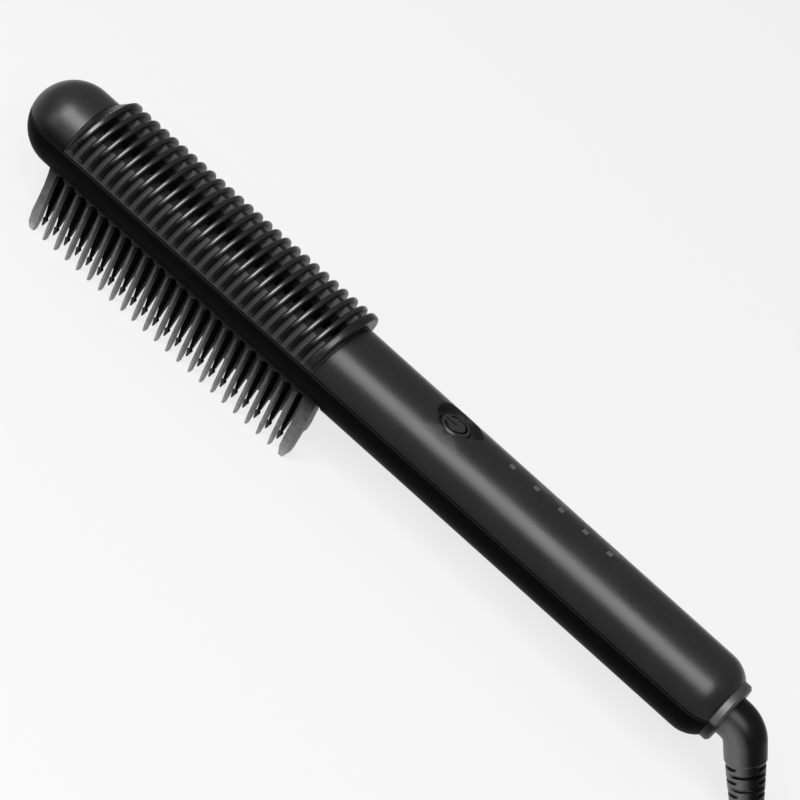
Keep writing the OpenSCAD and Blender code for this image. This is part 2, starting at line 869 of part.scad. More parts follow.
module switch_body() {
    color("#2a2a2a") placed() {
        difference() {
            bar(button_s - 3.1, button_s + 3.1, -3.1, 3.1, board_z, board_z + switch_h);
            post(button_s, 0, board_z + switch_h - 1.6, 20, stem_r + 0.05);
        }
    }
}
module switch_stem() {
    color("#dcdcdc") placed() {
        post(button_s, 0, board_z + switch_h - 1.5 + button_travel, flange_top - flange_t, stem_r);
    }
}
module icon_shape(grow) {
    ring = 3.7;
    line = 0.35 + grow;
    difference() {
        difference() {
            circle(r = ring + line);
            circle(r = ring - line);
        }
        polygon([[0, 0], [-far, far * tan(32 - grow * 8)], [-far, -far * tan(32 - grow * 8)]]);
    }
    translate([-ring - line, -line]) square([ring + 2 * line, 2 * line]);
}
icon_t = 0.3;
module power_button() {
    color("#202022") placed() {
        difference() {
            union() {
                post(button_s, 0, flange_top - flange_t, flange_top, button_r + 1.2);
                post(button_s, 0, flange_top - 0.01, button_top - 0.5, button_r);
                translate([button_s, 0, button_top - 0.5]) cylinder(r1 = button_r, r2 = button_r - 0.5, h = 0.5);
            }
            translate([button_s, 0, button_top - icon_t]) linear_extrude(height = 1) icon_shape(0.05);
        }
    }
}
module button_icon() {
    color("#060606") placed() {
        translate([button_s, 0, button_top - icon_t]) linear_extrude(height = icon_t - 0.05) icon_shape(0);
    }
}

// ---------- swivel ----------

module end_collar() {
    color("#242426") placed() turned() {
        difference() {
            union() {
                translate([swivel_bore_r, collar_flange[0]])
                    square([10.5 - swivel_bore_r, collar_flange[1] - collar_flange[0]]);
                translate([swivel_bore_r, collar_flange[0]])
                    square([collar_neck_r() - swivel_bore_r, total_len - collar_flange[0]]);
                polygon([
                    [swivel_bore_r, body_len + 0.05], [collar_r, body_len + 0.05], [collar_r, total_len - 0.8],
                    [collar_r - 0.8, total_len], [swivel_bore_r, total_len]
                ]);
            }
        }
    }
}
module swivel_hub() {
    color("#161618") placed() {
        rod(hub_flange[1] - 0.01, total_len, swivel_bore_r - swivel_fit);
        rod(hub_flange[0], hub_flange[1], swivel_bore_r + 1.6);
        rod(spigot_start, hub_flange[0] + 0.01, spigot_r);
    }
}
module slip_ring(s) {
    color("#c8a24a") placed() turned() translate([spigot_r + 0.05, s]) square([ring_r - spigot_r - 0.05, ring_w]);
}
module brush_block() {
    color("#e2ddd0") placed() {
        intersection() {
            union() {
                bar(spigot_start - 3, hub_flange[0] - 0.6, -8, 8, -far / 10, block_top);
                bar(spigot_start - 3, spigot_start - gap, -6.8, 6.8, -far / 10, 5);
            }
            body(shell_wall + 0.2);
        }
    }
}
module brush(s, side) {
    y = side > 0 ? ring_r + gap : -ring_r - gap - 0.4;
    color("#c8a24a") placed() bar(s, s + ring_w, y, y + 0.4, block_top, 3);
}

// ---------- cord ----------

// one tube swept along points, with a radius at each
function unit(v) = v / norm(v);
function heading(p, i) = unit(p[min(i + 1, len(p) - 1)] - p[max(i - 1, 0)]);
function ring_points(p, i, r, n) =
    let (t = heading(p, i), side = unit(cross([0, 0, 1], t)), up = cross(t, side))
    [for (k = [0 : n - 1]) p[i] + r * (cos(360 * k / n) * side + sin(360 * k / n) * up)];
module swept(p, radii, n) {
    last = len(p) - 1;
    points = [for (i = [0 : last]) each ring_points(p, i, radii[i], n)];
    sides = [
        for (i = [0 : last - 1], k = [0 : n - 1])
            [i * n + k, (i + 1) * n + k, (i + 1) * n + (k + 1) % n, i * n + (k + 1) % n]
    ];
    ends = [[for (k = [0 : n - 1]) k], [for (k = [n - 1 : -1 : 0]) last * n + k]];
    polyhedron(points = points, faces = concat(sides, ends), convexity = 6);
}

// the strain relief's middle line at a length u from the collar
function boot_at(u) =
    let (
        a = boot_lengths[0], b = a + boot_lengths[1], c = b + boot_lengths[2],
        elbow = min(max(u - a, 0) / boot_lengths[1], 1) * boot_turn,
        slope = min(max(u - b, 0), boot_lengths[2]),
        sweep = min(max(u - c, 0) / boot_lengths[3], 1) * boot_turn
    )
    [
        min(u, a) + boot_elbow_r * sin(elbow) + slope * cos(boot_turn)
            + boot_sweep_r * (sin(boot_turn) - sin(boot_turn - sweep)),
        0,
        tooth_reach - boot_elbow_r * (1 - cos(elbow)) - slope * sin(boot_turn)
            - boot_sweep_r * (cos(boot_turn - sweep) - cos(boot_turn))
    ];
// its radius there: a taper, with a groove every ring_step
function boot_radius(u) =
    let (
        taper = boot_r + (boot_tip_r - boot_r) * pow(u / boot_len, 1.4),
        phase = (u - ring_first) / ring_step
    )
    u > ring_first && u < boot_len - 3 && phase - floor(phase) < 0.35 ? taper - 0.8 : taper;
module cord_boot() {
    n = 48;
    stations = [for (i = [0 : n]) boot_len * i / n];
    color("#19191b") from_tail() {
        swept([for (u = stations) boot_at(u)], [for (u = stations) boot_radius(u)], 12);
    }
}
module cord_lead() {
    color("#121213") from_tail() swept(cord_route, [for (p = cord_route) cord_d / 2], cord_sides);
}
module cord_tail() {
    color("#121213") from_tail() swept(tail_route, [for (p = tail_route) cord_d / 2], cord_sides);
}
// outline of the hank's turns at a distance from their outermost line
module hank_outline(r) {
    translate([hank_at[0], hank_at[1]]) circle(r = r);
    translate([hank_at[0] + hank_run, hank_at[1]]) circle(r = r);
    translate([hank_at[0], hank_at[1] - r]) square([hank_run, 2 * r]);
}
module cord_hank() {
    color("#121213") from_tail() translate([0, 0, hank_at[2]]) linear_extrude(height = hank_h) {
        difference() {
            hank_outline(fold_r + cord_d / 2);
            hank_outline(fold_r + cord_d / 2 - hank_rows * cord_d);
        }
    }
}
module cord_tie() {
    half = fold_r + cord_d / 2 + tie_slack;
    s = hank_at[0] + hank_run / 2;
    color("#0a0a0a") from_tail() difference() {
        bar(s - tie_w / 2, s + tie_w / 2, hank_at[1] - half - tie_t, hank_at[1] + half + tie_t,
            hank_at[2] - tie_t, hank_at[2] + hank_h + tie_t);
        bar(s - tie_w, s + tie_w, hank_at[1] - half, hank_at[1] + half, hank_at[2], hank_at[2] + hank_h);
    }
}
module at_plug() from_tail() translate(plug_at) rotate([0, 0, 180]) children();
module plug_body() {
    color("#141416") at_plug() {
        rotate([0, 90, 0]) cylinder(r1 = cord_d / 2 + 0.6, r2 = 5.4, h = plug_relief + 0.01);
        translate([plug_relief, 0, -plug_h / 2]) linear_extrude(height = plug_h) polygon([
            [0, -7], [0, 7], [14, 9], [24, 17], [27, 17.7], [plug_len, 17.7],
            [plug_len, -17.7], [27, -17.7], [24, -17], [14, -9]
        ]);
    }
}
module plug_pin(side) {
    color("#c4c4c6") at_plug() translate([plug_relief + plug_len, side * pin_pitch / 2, 0]) rotate([0, 90, 0]) {
        cylinder(r = pin_r, h = pin_len);
        translate([0, 0, pin_len]) cylinder(r1 = pin_r, r2 = pin_r - 0.8, h = 1);
    }
}

nose_cap();
upper_shell();
lower_shell();
rib_guard();
comb_frame();
barrel();
fin_plate();
tooth_caps();
plate_screws();
film_top();
film_bottom();
electrode_top();
electrode_bottom();
ptc(0);  // ptc_1
ptc(1);  // ptc_2
ptc(2);  // ptc_3
front_bracket();
rear_bracket();
thermal_fuse();
thermistor();
heater_leads();
sensor_leads();
mains_leads();
circuit_board();
board_screws();
case_screws();
control_chip();
triac();
film_capacitor();
smoothing_capacitor();
power_resistor();
led_chips();
light_pipe();
switch_body();
switch_stem();
power_button();
button_icon();
end_collar();
brush_block();
brush(ring_live_s, 1);  // brush_live
brush(ring_neutral_s, -1);  // brush_neutral
swivel_hub();
slip_ring(ring_live_s);  // slip_ring_live
slip_ring(ring_neutral_s);  // slip_ring_neutral
cord_boot();
cord_lead();
cord_hank();
cord_tail();
cord_tie();
plug_body();
plug_pin(1);  // plug_pin_live
plug_pin(-1);  // plug_pin_neutral
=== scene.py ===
import json
import math

import bpy
from mathutils import Matrix, Vector


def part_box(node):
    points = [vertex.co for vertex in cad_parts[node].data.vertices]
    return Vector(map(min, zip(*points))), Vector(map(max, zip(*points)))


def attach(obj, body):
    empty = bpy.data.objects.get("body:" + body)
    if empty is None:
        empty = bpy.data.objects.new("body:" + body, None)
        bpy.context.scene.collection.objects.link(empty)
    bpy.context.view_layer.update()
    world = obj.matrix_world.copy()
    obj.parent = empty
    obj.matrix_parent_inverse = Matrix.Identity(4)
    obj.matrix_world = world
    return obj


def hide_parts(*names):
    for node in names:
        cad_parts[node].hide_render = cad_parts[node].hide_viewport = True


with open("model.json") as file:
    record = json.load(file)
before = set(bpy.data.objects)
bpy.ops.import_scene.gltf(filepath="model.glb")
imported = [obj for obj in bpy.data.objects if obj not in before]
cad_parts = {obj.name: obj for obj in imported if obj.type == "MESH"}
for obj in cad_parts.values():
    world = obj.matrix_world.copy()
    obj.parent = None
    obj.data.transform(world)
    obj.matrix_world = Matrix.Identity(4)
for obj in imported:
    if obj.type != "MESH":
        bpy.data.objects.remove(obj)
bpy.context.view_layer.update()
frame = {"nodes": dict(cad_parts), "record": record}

# The hot comb. Its hard pieces are the CAD's own solids with procedural materials; the cord and its strain relief
# are meshes made here. Sizes and places are in millimetres and turned into metres by mm(), angles are in degrees,
# and the body's axis runs along X at the height AXIS_Z.


def mm(*values):
    """A point, or a vector, given in millimetres."""
    return Vector([v / 1000 for v in values])


def box_mm(node_name):
    """The lowest and the highest corner of a CAD node."""
    return [[round(1000 * v, 3) for v in corner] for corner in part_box(node_name)]


def ease(k):
    """0 to 1, slow at both ends."""
    k = min(max(k, 0.0), 1.0)
    return k * k * (3 - 2 * k)


HUB_LOW, HUB_HIGH = box_mm("swivel_hub")
AXIS_Z = (HUB_LOW[2] + HUB_HIGH[2]) / 2
TAIL_X = HUB_HIGH[0]
GUARD_LOW, GUARD_HIGH = box_mm("rib_guard")

# ---------------------------------------------------------------- camera

YAW, ELEVATION, ROLL = 11.5, 32.5, 41.838
AIM_X, AIM_RAISED = 6.75, 4.3
CAMERA_DISTANCE = 916
FOCAL_PX, IMAGE_PX, SENSOR_W = 2967, 800, 36.0


def place_on_axes(thing, x, y, z, origin):
    """Turns an object so that its own axes lie along x, y and z, and puts it at origin (metres)."""
    thing.matrix_world = Matrix((x, y, z)).transposed().to_4x4()
    thing.matrix_world.translation = origin


def make_camera():
    """Looks at the body from above its side, turned a little towards the tail and rolled as in the photograph."""
    yaw, elevation, roll = (math.radians(a) for a in (YAW, ELEVATION, ROLL))
    back = Vector((math.sin(yaw), -math.cos(yaw) * math.cos(elevation), math.cos(yaw) * math.sin(elevation)))
    right = Vector((math.cos(yaw), math.sin(yaw) * math.cos(elevation), -math.sin(yaw) * math.sin(elevation)))
    up = back.cross(right)
    target = mm(AIM_X, 0, AXIS_Z) + up * (AIM_RAISED / 1000)
    data = bpy.data.cameras.new("camera")
    data.sensor_width = SENSOR_W
    data.lens = FOCAL_PX / IMAGE_PX * SENSOR_W
    data.clip_start, data.clip_end = 0.02, 20
    camera = bpy.data.objects.new("camera", data)
    bpy.context.collection.objects.link(camera)
    place_on_axes(camera, right * math.cos(roll) + up * math.sin(roll), up * math.cos(roll) - right * math.sin(roll),
                  back, target + back * (CAMERA_DISTANCE / 1000))
    bpy.context.scene.camera = camera


# ---------------------------------------------------------------- mesh helpers

def smooth_shade(mesh, crease):
    """Smooth shading, apart from the edges that are sharper than the crease angle."""
    for polygon in mesh.polygons:
        polygon.use_smooth = True
    mesh.set_sharp_from_angle(angle=math.radians(crease))


def mesh_piece(name, verts, faces, body, slot, crease):
    """A new visible piece that rides on a body."""
    mesh = bpy.data.meshes.new(name)
    mesh.from_pydata([tuple(v) for v in verts], [], faces)
    mesh.validate()
    mesh.update()
    smooth_shade(mesh, crease)
    piece = bpy.data.objects.new(name, mesh)
    bpy.context.collection.objects.link(piece)
    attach(piece, body)
    return piece


def skin(rings):
    """Vertices and faces of a closed skin over rings of equally many points."""
    n = len(rings[0])
    verts = [p for ring in rings for p in ring]
    faces = []
    for i in range(len(rings) - 1):
        for k in range(n):
            after = (k + 1) % n
            faces.append((i * n + k, i * n + after, (i + 1) * n + after, (i + 1) * n + k))
    faces.append(tuple(range(n))[::-1])
    faces.append(tuple(range((len(rings) - 1) * n, len(rings) * n)))
    return verts, faces


# ---------------------------------------------------------------- cord

CORD_D = 6.0
CORD_R = CORD_D / 2
CORD_SIDES, CORD_STEP = 18, 2.2
HANK_LOW, HANK_HIGH = box_mm("cord_hank")
HANK_Y = (HANK_LOW[1] + HANK_HIGH[1]) / 2
OUTER = (HANK_HIGH[1] - HANK_LOW[1]) / 2 - CORD_R
INNER = OUTER - CORD_D
NEAR_X = HANK_LOW[0] + OUTER + CORD_R
FAR_X = HANK_HIGH[0] - OUTER - CORD_R
BOTTOM_Z = HANK_LOW[2] + CORD_R

# The lead's first points are inside the strain relief. The rest stand at LEAD_X.
LEAD_START = ((182.0, 0, 5.3), (185.5, 0, 5))
LEAD_X = (190, 195, 200, 205, 210, 215, 220, 226)
# Where the lead starts to bend sideways and to sink to the surface, and over what length.
LEAD_BEND, LEAD_SINK = (186, 40), (185, 30)
# A turn runs out on the side towards +Y, folds at the far end, runs back and folds at the near end. Each row gives
# the radius of the way out and of the way back, and the layer at the end of the way out and of the way back.
TURNS = ((OUTER, OUTER, 0, 0), (INNER, INNER, 0, 1), (INNER, OUTER, 1, 1), (OUTER, OUTER, 2, 2),
         (INNER, INNER, 2, 3), (INNER, OUTER, 3, 3))
LAST_RISE = 3.2
STRAIGHT_AT = (0.12, 0.37, 0.63, 0.88)
FOLD_STEPS = 8
OVER_THE_TOP = ((242, 12, 27.2), (251, 12, 28.6), (262, 12, 29.2), (274, 12, 29.3), (286, 12, 29.4), (295, 12, 29.7),
                (302, 11.8, 30.1), (310.5, 9.2, 30.5), (318.2, 1.5, 31), (321, -9, 31.6), (318.2, -19.5, 32.2),
                (310.5, -27.2, 32.7), (302, -29.8, 32.95), (297, -30, 33), (292, -30, 33))


def straight(side, radius, z_from, z_to):
    """Points of a straight stretch of the hank, on the side +1 outwards or -1 back."""
    x_from, x_to = (NEAR_X, FAR_X) if side > 0 else (FAR_X, NEAR_X)
    return [(x_from + (x_to - x_from) * k, HANK_Y + side * radius, z_from + (z_to - z_from) * ease(k))
            for k in STRAIGHT_AT]


def fold(far, r_from, r_to, z, rise=0.0):
    """Points of a half circle at one end of the hank."""
    points = []
    for i in range(FOLD_STEPS + 1):
        k = i / FOLD_STEPS
        angle = math.radians(90 - 180 * k if far else -90 - 180 * k)
        radius = r_from + (r_to - r_from) * ease(k)
        points.append(((FAR_X if far else NEAR_X) + radius * math.cos(angle), HANK_Y + radius * math.sin(angle),
                       z + rise * k * k))
    return points


def cord_route():
    """The lead from the strain relief, six turns of the hank, and the end that crosses its top to the plug."""
    points = list(LEAD_START)
    for x in LEAD_X:
        bend = (1 - math.cos(math.pi * (x - LEAD_BEND[0]) / LEAD_BEND[1])) / 2
        sink = ease((x - LEAD_SINK[0]) / LEAD_SINK[1])
        points.append((x, (HANK_Y + OUTER) * bend, LEAD_START[-1][2] * (1 - sink) + BOTTOM_Z * sink))
    z = BOTTOM_Z
    for i, (out_r, back_r, out_layer, back_layer) in enumerate(TURNS):
        out_z, back_z = BOTTOM_Z + out_layer * CORD_D, BOTTOM_Z + back_layer * CORD_D
        last = i == len(TURNS) - 1
        points += straight(1, out_r, z, out_z) + fold(True, out_r, back_r, out_z)
        points += straight(-1, back_r, out_z, back_z)
        points += fold(False, back_r, OUTER if last else TURNS[i + 1][0], back_z, LAST_RISE if last else 0.0)
        z = back_z
    points += OVER_THE_TOP
    return [mm(*p) for p in points]


def smooth_path(ctrl, step):
    """A clamped cubic B-spline through the route (de Boor's rule), cut into equal steps."""
    degree, per_span = 3, 30
    spans = len(ctrl) - degree
    knots = [0.0] * (degree + 1) + [float(i) for i in range(1, spans)] + [float(spans)] * (degree + 1)
    fine = []
    for i in range(spans * per_span + 1):
        u = min(i / per_span, spans - 1e-9)
        k = int(u) + degree
        d = [ctrl[j + k - degree].copy() for j in range(degree + 1)]
        for r in range(1, degree + 1):
            for j in range(degree, r - 1, -1):
                low = knots[j + k - degree]
                f = (u - low) / (knots[j + 1 + k - r] - low)
                d[j] = d[j - 1] * (1 - f) + d[j] * f
        fine.append(d[degree])
    along = [0.0]
    for p, q in zip(fine, fine[1:]):
        along.append(along[-1] + (q - p).length)
    count = round(along[-1] / step)
    path, j = [], 0
    for i in range(count + 1):
        s = along[-1] * i / count
        while j < len(along) - 2 and along[j + 1] < s:
            j += 1
        path.append(fine[j].lerp(fine[j + 1], (s - along[j]) / max(along[j + 1] - along[j], 1e-12)))
    return path


def tube_rings(path, radius, sides):
    """Rings round a path, carried along it without twist."""
    side = (path[1] - path[0]).cross(Vector((0, 0, 1))).normalized()
    turns = [2 * math.pi * k / sides for k in range(sides)]
    rings = []
    for i, centre in enumerate(path):
        ahead = (path[min(i + 1, len(path) - 1)] - path[max(i - 1, 0)]).normalized()
        side = (side - ahead * side.dot(ahead)).normalized()
        up = ahead.cross(side)
        rings.append([centre + (side * math.cos(t) + up * math.sin(t)) * radius for t in turns])
    return rings


def make_cord(path):
    cord = mesh_piece("mains_cord", *skin(tube_rings(path, CORD_R / 1000, CORD_SIDES)), "cord", "cord_rubber", 60)
    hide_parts("cord_lead", "cord_hank", "cord_tail")
    return cord


# ---------------------------------------------------------------- strain relief

BOOT_ANGLE = 53
BOOT_STRAIGHT, BOOT_ELBOW_R, BOOT_SWEEP_R, BOOT_END_Z = 2.0, 8.0, 24.0, 5.0
BOOT_TURN = math.radians(BOOT_ANGLE)
BOOT_SLOPE = (AXIS_Z - BOOT_END_Z - (BOOT_ELBOW_R + BOOT_SWEEP_R) * (1 - math.cos(BOOT_TURN))) / math.sin(BOOT_TURN)
BOOT_PARTS = (BOOT_STRAIGHT, BOOT_ELBOW_R * BOOT_TURN, BOOT_SLOPE, BOOT_SWEEP_R * BOOT_TURN)
BOOT_LEN = sum(BOOT_PARTS)
BOOT_SIDES = 56
# Steps between the rings: fine from BOOT_FINE_FROM to BOOT_TIP short of the end, coarse before and after.
BOOT_COARSE, BOOT_FINE = 0.3, 0.17
BOOT_FINE_FROM, BOOT_TIP = 15, 4.2
# Distance along the boot and its radius there.
BOOT_TAPER = ((0, 6.85), (9, 6.75), (15.3, 6.6), (15.8, 6.25), (21.4, 5.95), (27, 5.5), (36, 4.8),
              (BOOT_LEN - 1.2, 4.1), (BOOT_LEN - 0.5, 3.95), (BOOT_LEN, 3.5))
GROOVES_FROM, GROOVES_TO = 16, BOOT_LEN - 4.5
GROOVE_PITCH, GROOVE_DEPTH = 4.5, 0.95
GROOVE_FLAT, GROOVE_FLANK = 0.28, 0.34
GROOVE_SPAN, GROOVE_FADE = 50, 10
FIRST_GROOVE, FIRST_SIDE = 16.9, 62


def boot_centre(u):
    """The point of the boot's centreline at the distance u: straight, elbow, slope and sweep down to level."""
    straight_end, elbow_len, slope_len, sweep_len = BOOT_PARTS
    elbow_end = straight_end + elbow_len
    slope_end = elbow_end + slope_len
    elbow = min(max(u - straight_end, 0) / elbow_len, 1) * BOOT_TURN
    slope = min(max(u - elbow_end, 0), slope_len)
    sweep = min(max(u - slope_end, 0) / sweep_len, 1) * BOOT_TURN
    x = (min(u, straight_end) + BOOT_ELBOW_R * math.sin(elbow) + slope * math.cos(BOOT_TURN)
         + BOOT_SWEEP_R * (math.sin(BOOT_TURN) - math.sin(BOOT_TURN - sweep)))
    down = (BOOT_ELBOW_R * (1 - math.cos(elbow)) + slope * math.sin(BOOT_TURN)
            + BOOT_SWEEP_R * (math.cos(BOOT_TURN - sweep) - math.cos(BOOT_TURN)))
    return mm(TAIL_X + x, 0, AXIS_Z - down)


def boot_radius(u):
    """The boot's radius at the distance u, before its grooves."""
    for (u0, r0), (u1, r1) in zip(BOOT_TAPER, BOOT_TAPER[1:]):
        if u <= u1:
            return r0 + (r1 - r0) * (u - u0) / (u1 - u0)
    return BOOT_TAPER[-1][1]


def groove(u, first):
    """How deep a row of grooves is at the distance u, 0 to 1."""
    if not GROOVES_FROM <= u <= GROOVES_TO:
        return 0.0
    rows = (u - first) / GROOVE_PITCH
    off = abs(rows - round(rows)) * GROOVE_PITCH
    return 1 - ease((off - GROOVE_FLAT) / GROOVE_FLANK)


def groove_span(angle, centre):
    """How deep a groove is at an angle round the boot. Each groove is cut on two opposite sides."""
    off = abs((angle - centre + 90) % 180 - 90)
    return 1 - ease((off - GROOVE_SPAN) / GROOVE_FADE)


def make_boot():
    """A smooth elbow that runs into staggered half rings, each row a quarter turn from the last."""
    fine_to = BOOT_LEN - BOOT_TIP
    stations = [BOOT_COARSE * i for i in range(round(BOOT_FINE_FROM / BOOT_COARSE))]
    stations += [BOOT_FINE_FROM + BOOT_FINE * i for i in range(int((fine_to - BOOT_FINE_FROM) / BOOT_FINE))]
    stations += [fine_to + BOOT_COARSE * i for i in range(round(BOOT_TIP / BOOT_COARSE))] + [BOOT_LEN]
    side = Vector((0, -1, 0))
    rings = []
    for u in stations:
        centre = boot_centre(u)
        ahead = (boot_centre(min(u + 0.2, BOOT_LEN)) - boot_centre(max(u - 0.2, 0))).normalized()
        under = ahead.cross(side)
        ring = []
        for k in range(BOOT_SIDES):
            angle = 360 * k / BOOT_SIDES
            cut = (groove(u, FIRST_GROOVE) * groove_span(angle, FIRST_SIDE)
                   + groove(u, FIRST_GROOVE + GROOVE_PITCH / 2) * groove_span(angle, FIRST_SIDE + 90))
            out = side * math.cos(math.radians(angle)) + under * math.sin(math.radians(angle))
            ring.append(centre + out * ((boot_radius(u) - GROOVE_DEPTH * cut) / 1000))
        rings.append(ring)
    boot = mesh_piece("strain_relief", *skin(rings), "cord", "cord_rubber", 40)
    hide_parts("cord_boot")
    return boot


# ---------------------------------------------------------------- materials

# The drift of colour and roughness runs over this part of its noise, and this share of the roughness.
NOISE_LOW, NOISE_HIGH = 0.3, 0.7
ROUGH_SWING = 0.08
GRAIN_HEIGHT = 0.2
BEVEL_SAMPLES = 4


def node(tree, kind, **inputs):
    """A new shader node with constants on its inputs; an input's spaces are written as underscores."""
    new = tree.nodes.new(kind)
    for key, value in inputs.items():
        new.inputs[key.replace("_", " ")].default_value = value
    return new


def math_node(tree, operation, first, second):
    """Arithmetic on a socket and another socket or a number."""
    new = tree.nodes.new("ShaderNodeMath")
    new.operation = operation
    tree.links.new(first, new.inputs[0])
    if isinstance(second, (int, float)):
        new.inputs[1].default_value = second
    else:
        tree.links.new(second, new.inputs[1])
    return new.outputs[0]


def mix_colours(tree, blend, factor, first, second):
    """Blends two colour sockets by a socket or a number."""
    mix = tree.nodes.new("ShaderNodeMix")
    mix.data_type = "RGBA"
    mix.blend_type = blend
    if isinstance(factor, (int, float)):
        mix.inputs[0].default_value = factor
    else:
        tree.links.new(factor, mix.inputs[0])
    tree.links.new(first, mix.inputs[6])
    tree.links.new(second, mix.inputs[7])
    return mix.outputs[2]


def colour_ramp(tree, value, stops):
    """Colours over a value from 0 to 1: stops are (position, grey or RGB)."""
    ramp = tree.nodes.new("ShaderNodeValToRGB")
    elements = ramp.color_ramp.elements
    for i, (position, colour) in enumerate(stops):
        element = elements[i] if i < 2 else elements.new(position)
        element.position = position
        element.color = (*colour, 1) if isinstance(colour, tuple) else (colour, colour, colour, 1)
    tree.links.new(value, ramp.inputs["Fac"])
    return ramp.outputs["Color"]


def map_range(tree, value, low, high, to_low=0.0, to_high=1.0):
    """Spreads the stretch from low to high of a value over another one."""
    span = node(tree, "ShaderNodeMapRange", From_Min=low, From_Max=high, To_Min=to_low, To_Max=to_high)
    tree.links.new(value, span.inputs["Value"])
    return span.outputs["Result"]


def split(tree, place):
    """The X, Y and Z of a place."""
    xyz = tree.nodes.new("ShaderNodeSeparateXYZ")
    tree.links.new(place, xyz.inputs["Vector"])
    return xyz.outputs


def by_height(tree, place, stops):
    """Greys that change with the height above the floor: stops are (mm, grey)."""
    low, high = stops[0][0], stops[-1][0]
    value = map_range(tree, split(tree, place)["Z"], low / 1000, high / 1000)
    return colour_ramp(tree, value, [((z - low) / (high - low), grey) for z, grey in stops])


def surface(name, colour, rough, spec=0.5, ior=1.5, metallic=0.0, bump=0.06, scale=1400.0, vary=0.12, drift=70.0,
            bevel=0.0, tint=None):
    """A moulded or coated surface. Its colour is a grey, an RGB, a list of (height, grey) or a function that lays
    out a pattern. It drifts a little, as its roughness does, a fine grain breaks up its gloss, and its edges are
    softened over bevel mm. The tint of its gloss may change with the height too."""
    material = bpy.data.materials.new(name)
    material.use_nodes = True
    tree = material.node_tree
    link = tree.links.new
    shader = tree.nodes["Principled BSDF"]
    shader.inputs["Specular IOR Level"].default_value = spec
    shader.inputs["IOR"].default_value = ior
    shader.inputs["Metallic"].default_value = metallic
    place = tree.nodes.new("ShaderNodeTexCoord")

    big = node(tree, "ShaderNodeTexNoise", Scale=drift, Detail=4.0, Roughness=0.6)
    link(place.outputs["Object"], big.inputs["Vector"])
    pattern, plain = None, (1, 1, 1)
    if callable(colour):
        pattern = colour(tree, place)
    elif isinstance(colour, list):
        pattern = by_height(tree, place.outputs["Object"], colour)
    else:
        plain = colour if isinstance(colour, tuple) else (colour,) * 3
    shades = [tuple(min(c * swing, 1) for c in plain) for swing in (1 - vary, 1 + vary)]
    base = colour_ramp(tree, big.outputs["Fac"], list(zip((NOISE_LOW, NOISE_HIGH), shades)))
    if pattern:
        base = mix_colours(tree, "MULTIPLY", 1.0, pattern, base)
    link(base, shader.inputs["Base Color"])
    if tint:
        link(by_height(tree, place.outputs["Object"], tint), shader.inputs["Specular Tint"])
    link(map_range(tree, big.outputs["Fac"], NOISE_LOW, NOISE_HIGH, rough * (1 - ROUGH_SWING),
                   rough * (1 + ROUGH_SWING)), shader.inputs["Roughness"])

    grain = node(tree, "ShaderNodeTexNoise", Scale=scale, Detail=2.0)
    link(place.outputs["Object"], grain.inputs["Vector"])
    relief = node(tree, "ShaderNodeBump", Strength=bump, Distance=GRAIN_HEIGHT / 1000)
    link(grain.outputs["Fac"], relief.inputs["Height"])
    if bevel:
        soft = node(tree, "ShaderNodeBevel", Radius=bevel / 1000)
        soft.samples = BEVEL_SAMPLES
        link(soft.outputs["Normal"], relief.inputs["Normal"])
    link(relief.outputs["Normal"], shader.inputs["Normal"])
    return material


# The guard's blocks end and its ribs begin BLOCK_R from a line BLOCK_CENTRE above the body's axis. Its crests start
# CREST_R from a line CREST_CENTRE above the axis. The rings at its ends are FRONT_RING and REAR_RING wide.
BLOCK_R, BLOCK_CENTRE = 15.0, 2.2
CREST_R, CREST_CENTRE, CREST_FOOT = 16.4, 2.5, 3.0
FRONT_RING, REAR_RING = 3.4, 4.38
# Greys by height of the blocks and of the ribs. Painted shade: the ribs grow darker lower down, where they face down
# into shade, and the guard grows darker above the blocks, between the ribs at the top.
BLOCK_TONES_AND_SHADE = ((33.5, 0.024), (44.66, 0.032), (46.46, 0.010), (51.5, 0.006))
RIB_TONES_AND_SHADE = ((33.5, 0.0015), (42.5, 0.003), (51.5, 0.008))


def guard_painted_shade(tree, place):
    """The guard: its ribs are darker than the blocks between them, and both carry painted shade that changes with the
    height.
    """
    link = tree.links.new
    axes = split(tree, place.outputs["Object"])
    across = tree.nodes.new("ShaderNodeCombineXYZ")
    link(axes["Y"], across.inputs["Y"])
    link(math_node(tree, "SUBTRACT", axes["Z"], (AXIS_Z + BLOCK_CENTRE) / 1000), across.inputs["Z"])
    radius = tree.nodes.new("ShaderNodeVectorMath")
    radius.operation = "LENGTH"
    link(across.outputs[0], radius.inputs[0])
    on_rib = map_range(tree, radius.outputs["Value"], BLOCK_R / 1000, (BLOCK_R + 0.25) / 1000)
    return mix_colours(tree, "MIX", on_rib, by_height(tree, place.outputs["Object"], BLOCK_TONES_AND_SHADE),
                       by_height(tree, place.outputs["Object"], RIB_TONES_AND_SHADE))


# Painted light: the strain relief's rubber is painted paler on the side that faces this way, down and to the front,
# where light falls on it. Elsewhere it is near black.
PAINTED_LIGHT_SIDE = Vector((-0.45, -0.5, -0.74)).normalized()
BOOT_DARK, BOOT_PAINTED_LIGHT = 0.002, 0.0743


def boot_painted_light(tree, place):
    """The strain relief: its rubber is painted paler, as painted light, on the side that faces down and to the front.
    """
    facing = tree.nodes.new("ShaderNodeVectorMath")
    facing.operation = "DOT_PRODUCT"
    facing.inputs[1].default_value = PAINTED_LIGHT_SIDE
    tree.links.new(place.outputs["Normal"], facing.inputs[0])
    return colour_ramp(tree, map_range(tree, facing.outputs["Value"], 0.0, 0.5), ((0.0, BOOT_DARK), (1.0, BOOT_PAINTED_LIGHT)))


